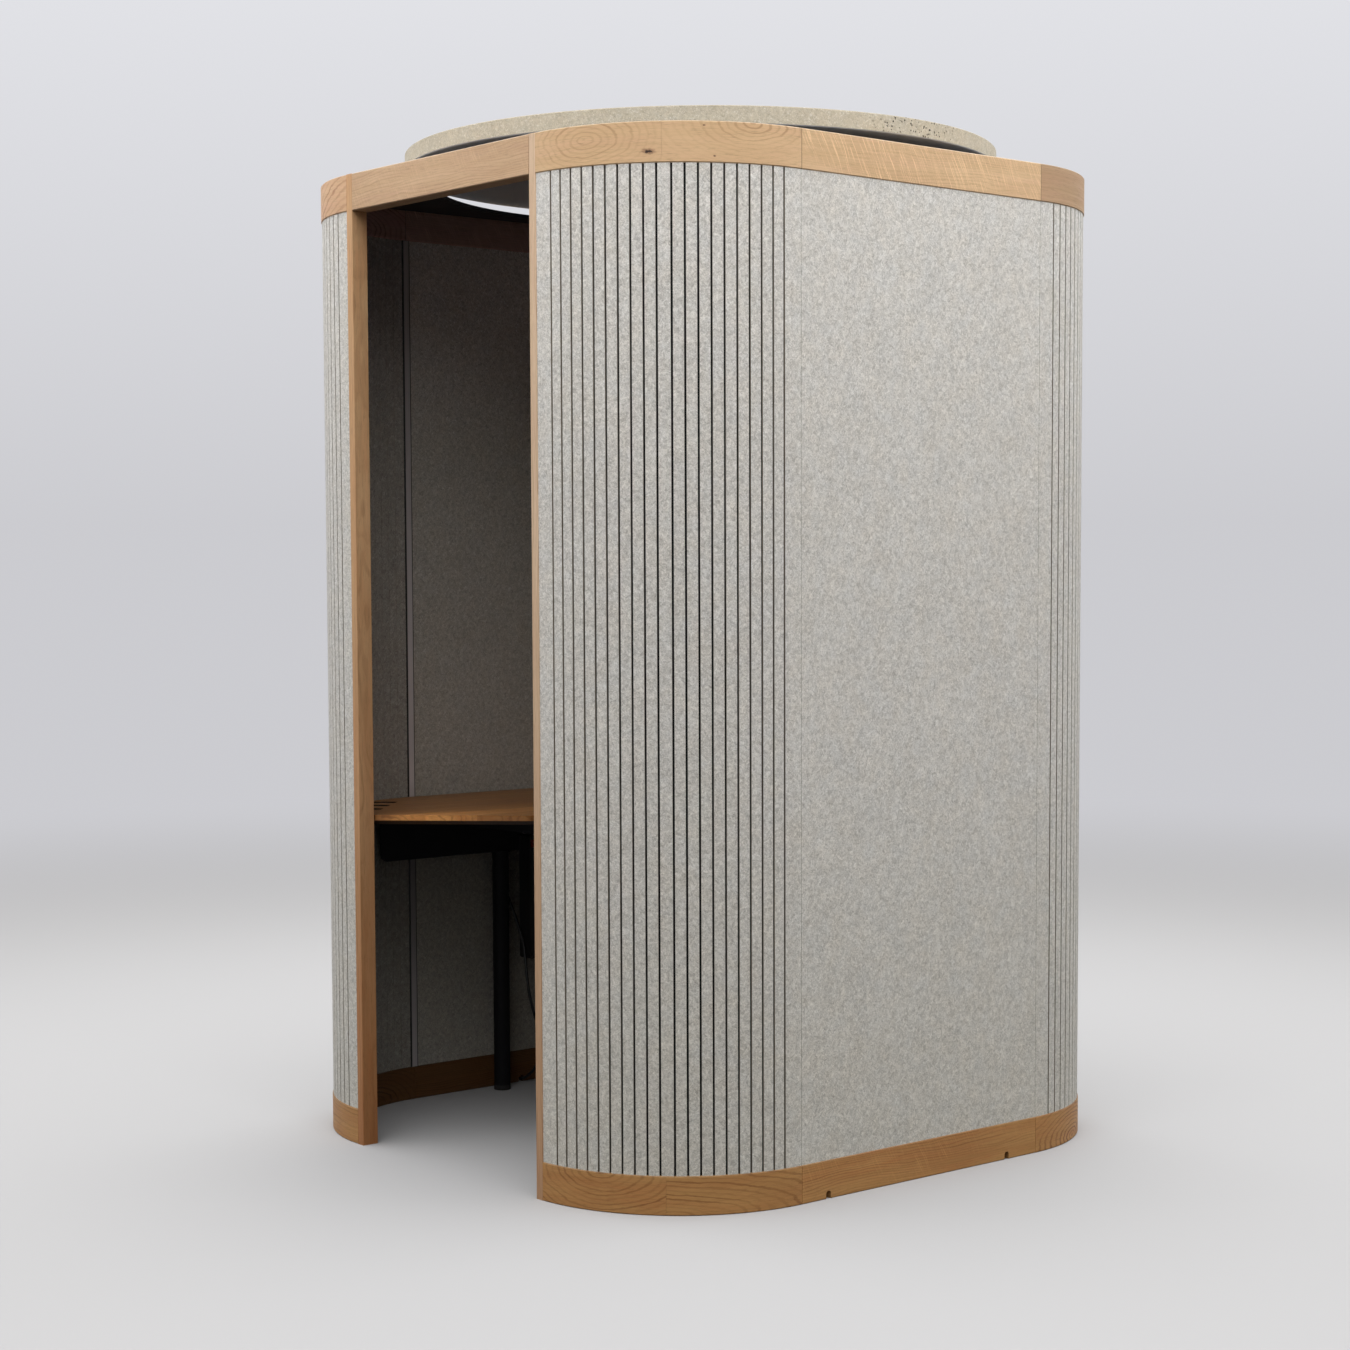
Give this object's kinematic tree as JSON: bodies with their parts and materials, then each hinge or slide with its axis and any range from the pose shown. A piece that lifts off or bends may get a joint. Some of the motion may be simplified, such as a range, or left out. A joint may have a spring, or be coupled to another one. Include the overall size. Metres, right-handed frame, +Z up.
{
  "type": "study carrel",
  "caption": "Free-standing acoustic study booth with felt walls, oak plinth and ring, open doorway, raised roof disc and a fitted desk on a steel frame.",
  "frame": {"origin": "centre of the booth's footprint on the floor", "axes": "+Z up, -Y out through the doorway, -X towards the wall that the desk stands against"},
  "size_m": [1.5816, 1.492, 2.2675],
  "materials": {
    "oak": "satin",
    "wall_felt": "matte",
    "roof_felt": "matte",
    "core_board": "matte",
    "black_board": "matte",
    "strip_aluminium": "satin",
    "screw_steel": "satin",
    "black_steel": "satin",
    "black_plastic": "matte",
    "rocker_plastic": "gloss",
    "black_rubber": "matte",
    "lead_sheath": "matte"
  },
  "bodies": {
    "booth": {"plinth_left": "oak", "plinth_right": "oak", "plinth_back": "oak", "plinth_corner_front_right": "oak", "plinth_corner_back_right": "oak", "plinth_corner_back_left": "oak", "plinth_corner_front_left": "oak", "ring_left": "oak", "ring_right": "oak", "ring_back": "oak", "ring_corner_front_right": "oak", "ring_corner_back_right": "oak", "ring_corner_back_left": "oak", "ring_corner_front_left": "oak", "door_lintel": "oak", "jamb_left": "oak", "jamb_right": "oak", "core_left": "core_board", "core_right": "core_board", "core_back": "core_board", "core_corners_front": "core_board", "core_corners_back": "core_board", "felt_outer_left": "wall_felt", "felt_outer_right": "wall_felt", "felt_outer_back": "wall_felt", "felt_outer_corner_front_right": "wall_felt", "felt_outer_corner_back_right": "wall_felt", "felt_outer_corner_back_left": "wall_felt", "felt_outer_corner_front_left": "wall_felt", "felt_inner_left": "wall_felt", "felt_inner_right": "wall_felt", "felt_inner_back": "wall_felt", "felt_inner_corner_front_right": "wall_felt", "felt_inner_corner_back_right": "wall_felt", "felt_inner_corner_back_left": "wall_felt", "felt_inner_corner_front_left": "wall_felt", "joint_strips": "strip_aluminium", "ceiling_board": "black_board", "roof_disc_felt": "roof_felt", "roof_disc_board": "black_board", "roof_spacers": "black_steel", "roof_bolts": "screw_steel", "desk_top": "oak", "desk_rail": "black_steel", "desk_arm_front": "black_steel", "desk_arm_back": "black_steel", "desk_leg_front": "black_steel", "desk_leg_back": "black_steel", "leg_feet": "black_rubber", "desk_screws": "screw_steel", "power_unit_tray": "black_plastic", "power_unit_lid": "black_plastic", "power_unit_screws": "screw_steel", "lead_gland": "black_plastic", "supply_lead": "lead_sheath", "lead_coil": "lead_sheath", "coil_tie": "black_rubber", "mains_plug": "black_plastic"},
    "rocker": {"rocker_switch": "rocker_plastic"}
  },
  "joints": [
    {"name": "rocker_tip", "type": "hinge", "parent": "booth", "child": "rocker", "pos_m": [-0.57969, -0.066, 0.628], "axis": [0, 1, 0], "range_deg": [0, 16]}
  ]
}
